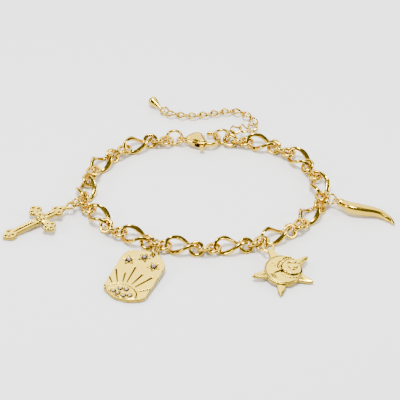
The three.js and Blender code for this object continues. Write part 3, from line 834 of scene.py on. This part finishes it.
def make_clasp_body(place):
    half, slot = CLASP_BODY["thickness"] / 2, CLASP_BODY["slot"] / 2

    def crease(relief):
        relief.groove(spline(CLASP_BODY["crease"], 30), *CLASP_BODY["crease_cut"])

    outline = curve(*CLASP_BODY["outline"])[::-1]
    shell = plate([outline], -half, half, crease, edge=CLASP_BODY["edge"], rise=CLASP_BODY["rise"])
    slotted = cut(shell, plate([np.array(CLASP_BODY["opening"])], -slot, slot, spacing=0.5, edge=0.01))
    pin = plate([disc(PIVOT["at"], PIVOT["pin"])], -slot - 0.2, slot + 0.2, spacing=0.15, edge=0.01)
    course = spline(HOOK["course"], 60)
    hook = sweep(course, (0, 0, 1), HOOK["width"], HOOK["height"], 20, 2.6, closed=False)
    body = melted([slotted, hook, ring(EYE), pin], 0.08)
    piece("clasp_shell", [body], place, GOLD, nodes=["clasp_body"])


def make_clasp_lever(place):
    half = LEVER["thickness"] / 2
    arms, hub = np.array(LEVER["arms"])[::-1], disc(PIVOT["at"], PIVOT["hub"])
    hole = disc(PIVOT["at"], PIVOT["hole"])
    flat = plate([arms, hub], -half, half, holes=[hole], edge=0.2, spacing=0.12)
    thumb, high = rounded(LEVER["thumb"], LEVER["thumb_corner"]), LEVER["thumb_height"] / 2
    knob = plate([thumb], -high, high, edge=0.4, spacing=0.12)
    piece("clasp_trigger", [melted([flat, knob], 0.06, 3)], place, GOLD, body="lever", nodes=["clasp_lever"])


def make_extender():
    course = evenly(spline(EXTENDER_COURSE, 600), CURB_LINKS + 1, closed=False)
    link = twisted_link(CURB_LINK, 56, 12, 3.0)
    parts = []
    for start, end in zip(course[:-1], course[1:]):
        run = end - start
        heading = math.degrees(math.atan2(run[1], run[0]))
        slope = math.degrees(math.atan2(run[2], math.hypot(run[0], run[1])))
        parts.append(moved(link, shift(*(start + end) / 2) @ turn("Z", heading) @ turn("Y", -slope)))
    parts.append(moved(ring(CURB_RING, 40, 12), ring_place(FIRST_CURB_RING)))
    parts.append(moved(ring(END_RING, 40, 12), ring_place(LAST_CURB_RING)))
    piece("curb_chain", parts, Matrix.Identity(4), GOLD, nodes=["extender_chain"])


def make_drop():
    length, wide, narrow, loop = DROP["length"], DROP["wide"], DROP["narrow"], DROP["loop"]
    neck = ((0, 0.01), (0, narrow * 0.4), (0.1, narrow / 2), (0.6, narrow / 2 + 0.1))
    bell = [(length * along, wide * radius) for along, radius in DROP["bell"]]
    shape = turned(spline([*neck, *bell, (length, 0.01)], 64))
    eye = moved(ring(loop, 32, 12), shift(-(loop["outer"] - loop["wire"]) / 2, 0))
    piece("drop_shape", [shape, eye], charm_place(DROP_PLACE), GOLD, nodes=["end_drop"])


def make_charm_rings():
    for name, (centre, axis) in CHARM_RINGS.items():
        piece(f"wire_{name}", [ring(CHARM_RING, 48, 14)], axis_place(centre, axis), GOLD, nodes=[name])


def make_horn():
    course = spline(HORN["course"], 90)
    sizes = spline([(radius, 0) for radius in HORN["radii"]], 90)[:, 0]
    horn = sweep(course, (0, 0, 1), HORN["width"], HORN["height"], 32, 2.8, closed=False, scale=sizes)
    cap, eye = HORN["cap"], HORN["eye"]
    rim, length = cap["width"] / 2, cap["length"]
    profile = (
        (-0.3, 0.6), (-0.1, rim * 0.9), (0.15, rim), (length - 0.5, rim), (length - 0.1, rim * 0.75),
        (length, 0.2),
    )
    top = moved(turned(spline(profile, 40)), shift(*cap["at"]))
    loop = moved(ring(eye, 36, 12), shift(*eye["at"]))
    piece("horn_shape", [horn, top, loop], charm_place(HORN_PLACE), GOLD, nodes=["charm_horn"])


def cut_stone_part(centre, width, base):
    """Round stone with sixteen girdle facets, a crown of triangles and a small table, as one closed form."""
    girdle, crown, (table_length, table_width) = STONE["girdle"], STONE["crown"], STONE["table"]
    angles = [math.pi * i / 8 for i in range(16)]
    rim = [(width / 2 * math.cos(a), width / 2 * math.sin(a)) for a in angles]
    star = [(STONE["star"] * width * math.cos(a), STONE["star"] * width * math.sin(a)) for a in angles[::2]]
    table = [(table_length * width * math.cos(a), table_width * width * math.sin(a)) for a in angles[1::2]]
    points = [(x, y, base) for x, y in rim] + [(x, y, base + girdle) for x, y in rim]
    points += [(x, y, base + girdle + crown * 0.55) for x, y in star]
    points += [(x, y, base + girdle + crown) for x, y in table]
    faces = [tuple(reversed(range(16))), tuple(range(40, 48))]
    for i in range(16):
        j = (i + 1) % 16
        faces.append((i, j, 16 + j, 16 + i))
    for i in range(8):
        j = (i + 1) % 8
        left, middle, right = 16 + 2 * i, 17 + 2 * i, 16 + (2 * i + 2) % 16
        faces += [(left, middle, 32 + i), (middle, right, 32 + j), (32 + i, middle, 40 + i)]
        faces += [(middle, 32 + j, 40 + i), (32 + j, 40 + j, 40 + i)]
    # Painted shade on the facets: full at the girdle, less at the crown's star points, none on the table.
    dark = np.concatenate([np.ones(16), np.ones(16), np.full(8, 0.75), np.zeros(8)])
    return np.array(points) + (*centre, 0), faces, dark


def star_outline(centre, width, turned_by, points=5):
    angle = np.pi * np.arange(2 * points) / points + math.radians(turned_by)
    radius = np.where(np.arange(2 * points) % 2, TAG["star_waist"], 0.5) * width
    return np.stack([centre[0] + radius * np.cos(angle), centre[1] + radius * np.sin(angle)], 1)


def draw_tag(relief):
    cuts = TAG["cuts"]
    relief.rim(rounded(TAG["outline"], TAG["corner"]), *TAG["rim"])
    centre = np.array(TAG["ray_centre"])
    for degrees, end in zip(TAG["ray_angles"], TAG["ray_ends"]):
        away = direction(degrees)
        relief.groove([centre + away * TAG["ray_start"], centre + away * end], *cuts["ray"], root=0.5)
    relief.raised(np.array(TAG["sun"]), TAG["sun_height"])
    relief.groove(scalloped(TAG["sun"][1:-1]), *cuts["arc"])
    for centre in TAG["beads"]:
        relief.groove(disc(centre, TAG["bead_stone"] + 0.25), *cuts["bead"], closed=True)
    for centre, degrees in zip(TAG["stars"], TAG["star_turns"]):
        relief.raised(star_outline(centre, TAG["star_width"] * 0.86, degrees), TAG["star_height"], 0.2)
        relief.groove(star_outline(centre, TAG["star_width"], degrees), *cuts["star"], closed=True)
        relief.groove(disc(centre, TAG["star_stone"] + 0.3), *cuts["seat"], closed=True)


def scalloped(points, scallops=16, depth=0.12):
    """A line drawn as a row of small arcs."""
    line = evenly(spline(points, 200), scallops * 6 + 1, closed=False)
    run = np.gradient(line, axis=0)
    normal = np.stack([run[:, 1], -run[:, 0]], 1) / np.linalg.norm(run, axis=1)[:, None]
    swell = np.abs(np.sin(np.pi * np.arange(len(line)) / 6))
    return line + normal * (depth * swell)[:, None]


def make_tag():
    place = charm_place(TAG_PLACE)
    top = TAG["thickness"]
    hole = disc(TAG["hole"], TAG["hole_width"])
    body = plate([rounded(TAG["outline"], TAG["corner"])], 0, top, draw_tag, [hole])
    piece("tag_plate", [body], place, STRUCK, nodes=["charm_tag"])
    stars = [cut_stone_part(centre, TAG["star_stone"], top + 0.1) for centre in TAG["stars"]]
    beads = [cut_stone_part(centre, TAG["bead_stone"], top + 0.05) for centre in TAG["beads"]]
    piece("tag_star_stones", stars, place, VIOLET_STONE, sharp=5)
    piece("tag_sun_stones", beads, place, CLEAR_STONE, sharp=5)


def lobes(centre, degrees):
    """Middle and width of the three round lobes at the end of an arm that points at an angle."""
    shapes = []
    for side, distance in ((-90, CROSS["spread"]), (0, CROSS["reach"]), (90, CROSS["spread"])):
        away = math.radians(degrees + side)
        middle = (centre[0] + distance * math.cos(away), centre[1] + distance * math.sin(away))
        shapes.append((middle, CROSS["lobe"]))
    return shapes


def cross_ends():
    """Where the three ends with lobes are, and the angle each points at; the far end is a leaf."""
    inset = CROSS["reach"] + CROSS["lobe"] / 2
    half = CROSS["span"] / 2 - inset
    crossing = CROSS["crossing"]
    return ((CROSS["length"] - inset, 0), 0), ((crossing, half), 90), ((crossing, -half), -90)


def draw_cross(relief):
    cuts, domes = CROSS["cuts"], CROSS["domes"]
    crossing = np.array((CROSS["crossing"], 0))
    for start, end in CROSS["grooves"]:
        relief.groove([(start, 0), (end, 0)], *cuts["groove"])
    relief.dome(crossing, *domes["boss"])
    start, end = CROSS["petals"]
    for degrees in range(0, 360, 45):
        away = direction(degrees)
        relief.groove([crossing + away * start, crossing + away * end], *cuts["petal"])
    for centre in CROSS["leaf_dimples"]:
        relief.dimple(centre, *cuts["leaf"])
    width_share, height = domes["lobe"]
    for centre, degrees in cross_ends():
        for middle, width in lobes(centre, degrees):
            relief.dome(middle, width * width_share, height)
            relief.dimple(middle, *cuts["lobe"])
        relief.dimple(centre - 1.1 * direction(degrees), *cuts["neck"])


def mirrored(points):
    """Closed outline from one side's points, along X, and the same points on the other side."""
    return np.array([(x, -y) for x, y in points] + list(reversed(points)))


def make_cross():
    shaft, crossing, length = CROSS["shaft"] / 2, CROSS["crossing"], CROSS["length"]
    upright = mirrored(((0.9, 0.3), (2.6, shaft), (length - 1, shaft), (length + 0.6, 0.5)))
    half = CROSS["span"] / 2 - CROSS["arm_inset"]
    arm = mirrored(((crossing - shaft, half), (crossing + shaft, half)))
    outlines = [upright, arm, disc((crossing, 0), CROSS["boss"], 32)]
    outlines += [disc((x, side * y), width, 24) for x, y, width in CROSS["leaf"] for side in (-1, 1)]
    for centre, degrees in cross_ends():
        outlines += [disc(middle, width, 24) for middle, width in lobes(centre, degrees)]
    body = plate(outlines, 0, CROSS["thickness"], draw_cross, spacing=0.12, edge=0.2)
    piece("cross_body", [body, cross_bail()], charm_place(CROSS_PLACE), STRUCK, nodes=["charm_cross"])


def cross_bail():
    """A long diamond with an open middle, past the cross's top end."""
    bail, start = CROSS["bail"], CROSS["length"]
    middle, end, wire = start + bail["length"] * 0.55, start + bail["length"], bail["wire"]
    half, inner = bail["width"] / 2, bail["width"] / 2 - wire
    outline = mirrored(((start, wire / 2), (middle, half), (end, wire / 3)))
    hole = ((start + wire * 1.3, 0), (middle, -inner), (end - wire, 0), (middle, inner))
    return plate([rounded(outline, 0.5)], bail["low"], bail["high"], holes=[rounded(hole, 0.3)], edge=0.25)


def draw_face(relief):
    """Two arched eyes and a smile; the face looks along its own up axis, turned in the disc."""
    centre, right, up = np.array(FACE["at"]), np.array(FACE["right"]), np.array(FACE["up"])
    half = FACE["eye_half"]
    for eye in FACE["eyes"]:
        line = [
            centre + right * (eye + x) + up * (FACE["brow"] - FACE["arch"] * x * x)
            for x in np.linspace(-half, half, 9)
        ]
        relief.groove(line, *FACE["eye_cut"])
    across, high = FACE["mouth"]
    for depth, size in FACE["lips"]:
        lip = [
            centre + right * (across + FACE["mouth_half"] * x) + up * (high - depth * (1 - x * x))
            for x in np.linspace(-1, 1, 13)
        ]
        relief.groove(lip, *size)


def draw_moon(relief):
    """The crescent's brow, cheek and profile, and the hatching on its hat and lower horn."""
    relief.groove(MOON["brow"], *MOON["brow_cut"])
    relief.groove(MOON["cheek"], *MOON["cheek_cut"], root=0.7)
    relief.groove(spline(MOON["profile"], 60), *MOON["profile_cut"])
    for line in MOON["hatching"]:
        relief.groove(line, *MOON["hatch_cut"])


def draw_marks(relief):
    """Dashes along the moon's inner edge, and short spokes inside a halo, round the sun's face."""
    centre = FACE["at"]
    for degrees in np.linspace(*DASHES["angles"], DASHES["count"]):
        dash = arc(centre, DASHES["radius"], degrees - DASHES["half"], degrees + DASHES["half"], 3)
        relief.groove(dash, *DASHES["cut"])
    for degrees in np.linspace(*SPOKES["angles"], SPOKES["count"]):
        spoke = [arc(centre, radius, degrees, degrees, 1)[0] for radius in SPOKES["radii"]]
        relief.groove(spoke, *SPOKES["cut"])
    relief.groove(arc(centre, HALO["radius"], *HALO["angles"], 30), *HALO["cut"])


def draw_sun_moon(relief):
    relief.dome((0, 0), 15, 0.3)
    relief.height -= 0.2
    relief.groove(disc((0, 0), SUN_MOON["width"] - 0.9), *SUN_MOON["rim_cut"], closed=True)
    relief.raised(disc(FACE["at"], FACE["width"]), 0.3, 0.25)
    relief.dome(FACE["at"], FACE["width"], 0.15)
    relief.groove(disc(FACE["at"], FACE["width"] + 0.25), *FACE["edge_cut"], closed=True)
    draw_face(relief)
    draw_moon(relief)
    draw_marks(relief)


def sun_ray(degrees):
    """A pointed ray with a low ridge, from under the disc out to its tip."""
    root, tip, half = SUN_MOON["ray_root"], SUN_MOON["ray_tip"], SUN_MOON["ray_width"] / 2
    outline = mirrored(((root, half * 0.9), (6.3, half * 0.68), (tip - 1.3, half * 0.4), (tip - 0.15, 0.3)))

    def ridge(relief):
        x, y = relief.points.T
        across = np.abs(y) / np.maximum(half * (tip + 0.8 - x) / (tip - root), 0.1)
        relief.height += SUN_MOON["ray_ridge"] * np.clip(1 - across, 0, 1) - SUN_MOON["ray_drop"]

    ray = plate([rounded(outline, 0.3)], 0, SUN_MOON["ray_thickness"], ridge, edge=0.12)
    return moved(ray, turn("Z", degrees))


def make_sun_moon():
    reach = -SUN_MOON["ray_tip"] * min(math.cos(math.radians(a)) for a in SUN_MOON["ray_angles"])
    place = charm_place(SUN_MOON_PLACE) @ shift(reach, 0)
    outline, top = disc((0, 0), SUN_MOON["width"], 90), SUN_MOON["thickness"]
    body = plate([outline], 0, top + 0.3, draw_sun_moon, spacing=0.11, edge=0.2)
    bail, (wide, narrow) = SUN_MOON["bail"], SUN_MOON["neck"]
    neck = mirrored(((SUN_MOON["ray_root"], wide), (bail["at"] - 1.2, narrow)))
    stem = plate([neck], 0.1, top - 0.1, edge=0.3)
    eye = moved(ring(bail, 48, 16, 2.6), shift(bail["at"], 0, bail["wire"] / 2))
    rays = [sun_ray(degrees) for degrees in SUN_MOON["ray_angles"]]
    piece("sun_moon_disc", [body, stem, eye, *rays], place, STRUCK, nodes=["charm_sun_moon"])


# ---------------------------------------------------------------- studio

def area_light(name, place, size, radiance):
    """Soft panel that looks at the middle of the object; radiance is how bright it looks."""
    data = bpy.data.lights.new(name, "AREA")
    data.shape = "RECTANGLE"
    data.size = size[0] * MM
    data.size_y = size[1] * MM
    data.energy = radiance * math.pi * data.size * data.size_y
    light = bpy.data.objects.new(name, data)
    light.location = ORIGIN + Vector(place) * MM
    light.rotation_euler = Vector(place).to_track_quat("Z", "Y").to_euler()
    bpy.context.scene.collection.objects.link(light)


def make_studio():
    """A broad panel behind, which the flat charms mirror, and small bright ones in a dim room."""
    world = bpy.data.worlds.new("studio")
    bpy.context.scene.world = world
    world.use_nodes = True
    background = world.node_tree.nodes["Background"]
    background.inputs["Color"].default_value = (*WORLD["colour"], 1)
    background.inputs["Strength"].default_value = WORLD["strength"]
    for name, panel in PANELS.items():
        area_light(name, **panel)


def make_floor():
    mesh = bpy.data.meshes.new("floor")
    half = FLOOR_HALF * MM
    corners = [(-half, -half, 0), (half, -half, 0), (half, half, 0), (-half, half, 0)]
    mesh.from_pydata(corners, [], [(0, 1, 2, 3)])
    made, tree, shader = material("paper_floor", (0.93, 0.93, 0.93), 0.75, 0.0)
    tree.links.new(spread(tree, noise(tree, 30), 0.7, 0.8), shader.inputs["Roughness"])
    mesh.materials.append(made)
    floor = bpy.data.objects.new("floor", mesh)
    bpy.context.scene.collection.objects.link(floor)


def make_camera():
    elevation = math.radians(CAMERA["elevation"])
    back = Vector((0, -math.cos(elevation), math.sin(elevation)))
    data = bpy.data.cameras.new("camera")
    data.lens = CAMERA["lens"]
    data.sensor_width = 36
    camera = bpy.data.objects.new("camera", data)
    camera.location = ORIGIN + (Vector(CAMERA["aim"]) + back * CAMERA["distance"]) * MM
    camera.rotation_euler = (-back).to_track_quat("-Z", "Y").to_euler()
    bpy.context.scene.collection.objects.link(camera)
    bpy.context.scene.camera = camera


chain_end = make_chain()
clasp_place = make_clasp_rings(chain_end)
make_clasp_body(clasp_place)
make_clasp_lever(clasp_place)
make_extender()
make_drop()
make_charm_rings()
make_cross()
make_tag()
make_sun_moon()
make_horn()
make_studio()
make_floor()
make_camera()
